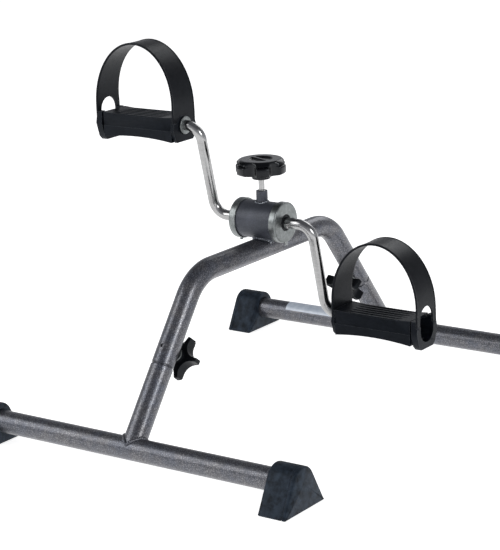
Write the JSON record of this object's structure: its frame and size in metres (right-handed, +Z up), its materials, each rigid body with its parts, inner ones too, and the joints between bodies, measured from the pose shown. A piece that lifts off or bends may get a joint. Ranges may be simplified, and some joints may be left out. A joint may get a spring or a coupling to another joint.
{
  "type": "pedal exerciser",
  "caption": "Low pedal exerciser: a bent tube arch on two floor bars carries a crank with strap pedals and a brake knob.",
  "frame": {"origin": "on the floor, straight under the hub, at the middle of the footprint", "axes": "+X along the crank to the right pedal, -Y to the front floor bar, +Z up"},
  "size_m": [0.388, 0.51, 0.3705],
  "materials": {
    "tube_paint": "silver-vein hammered paint, semi-gloss",
    "hub_paint": "smooth grey paint, satin",
    "weld_bead": "painted weld bead, bright on its lumps",
    "zinc_plate": "dull zinc plate",
    "rod_plate": "bright plated rod",
    "pedal_plastic": "black moulded plastic, fine grain",
    "strap_plastic": "black flexible moulded plastic",
    "gloss_knob": "glossy black",
    "satin_knob": "satin black",
    "foot_rubber": "black rubber, slightly mottled",
    "black_nylon": "moulded nylon",
    "pale_nylon": "moulded nylon",
    "brake_fibre": "pressed brake fibre",
    "label_film": "blank printed film"
  },
  "bodies": {
    "frame": {"arch_tube": "tube_paint", "hub_barrel": "hub_paint", "hub_weld": "weld_bead", "tension_boss": "hub_paint", "left_hub_cap": "zinc_plate", "right_hub_cap": "zinc_plate", "left_hub_bush": "black_nylon", "right_hub_bush": "black_nylon", "brake_sleeve": "pale_nylon", "front_clamp_nut": "zinc_plate", "rear_clamp_nut": "zinc_plate", "front_leg_stub": "tube_paint", "rear_leg_stub": "tube_paint", "front_stub_weld": "weld_bead", "rear_stub_weld": "weld_bead", "front_floor_bar": "tube_paint", "rear_floor_bar": "tube_paint", "front_left_foot": "foot_rubber", "front_right_foot": "foot_rubber", "rear_left_foot": "foot_rubber", "rear_right_foot": "foot_rubber", "blank_label": "label_film"},
    "crank": {"crankshaft": "rod_plate", "left_pedal_washer": "zinc_plate", "right_pedal_washer": "zinc_plate", "left_end_clip": "zinc_plate", "right_end_clip": "zinc_plate"},
    "left_pedal": {"left_pedal_body": "pedal_plastic", "left_strap": "strap_plastic"},
    "right_pedal": {"right_pedal_body": "pedal_plastic", "right_strap": "strap_plastic"},
    "brake": {"brake_block": "brake_fibre"},
    "tension": {"tension_screw": "rod_plate", "tension_knob": "gloss_knob"},
    "front_clamp_ring": {"front_clamp_washer": "zinc_plate"},
    "front_clamp": {"front_clamp_screw": "zinc_plate", "front_clamp_knob": "satin_knob"},
    "rear_clamp_ring": {"rear_clamp_washer": "zinc_plate"},
    "rear_clamp": {"rear_clamp_screw": "zinc_plate", "rear_clamp_knob": "satin_knob"}
  },
  "joints": [
    {"name": "crank_spin", "type": "hinge", "parent": "frame", "child": "crank", "pos_m": [0, 0, 0.1945], "axis": [1, 0, 0], "continuous": true},
    {"name": "left_pedal_spin", "type": "hinge", "parent": "crank", "child": "left_pedal", "pos_m": [0, -0.02171, 0.28853], "axis": [1, 0, 0], "continuous": true},
    {"name": "right_pedal_spin", "type": "hinge", "parent": "crank", "child": "right_pedal", "pos_m": [0, 0.02171, 0.10047], "axis": [1, 0, 0], "continuous": true},
    {"name": "brake_slide", "type": "slide", "parent": "frame", "child": "brake", "axis": [0, 0, 1], "range_m": [-0.0015, 0.0015]},
    {"name": "tension_turn", "type": "hinge", "parent": "brake", "child": "tension", "pos_m": [0, 0, 0.1945], "axis": [0, 0, 1], "range_deg": [-540, 540]},
    {"name": "front_clamp_slide", "type": "slide", "parent": "frame", "child": "front_clamp_ring", "axis": [0, 0.7923, -0.6101], "range_m": [0, 0.00375]},
    {"name": "front_clamp_turn", "type": "hinge", "parent": "front_clamp_ring", "child": "front_clamp", "pos_m": [0, -0.16238, 0.10362], "axis": [0, 0.7923, -0.6101], "range_deg": [0, 1080]},
    {"name": "rear_clamp_slide", "type": "slide", "parent": "frame", "child": "rear_clamp_ring", "axis": [0, -0.7923, -0.6101], "range_m": [0, 0.00375]},
    {"name": "rear_clamp_turn", "type": "hinge", "parent": "rear_clamp_ring", "child": "rear_clamp", "pos_m": [0, 0.16238, 0.10362], "axis": [0, -0.7923, -0.6101], "range_deg": [0, 1080]}
  ],
  "couplings": [
    {"joint": "tension_turn", "follows": "brake_slide", "rad_per_m": 6283.2},
    {"joint": "front_clamp_turn", "follows": "front_clamp_slide", "rad_per_m": 5026.5},
    {"joint": "rear_clamp_turn", "follows": "rear_clamp_slide", "rad_per_m": 5026.5}
  ]
}
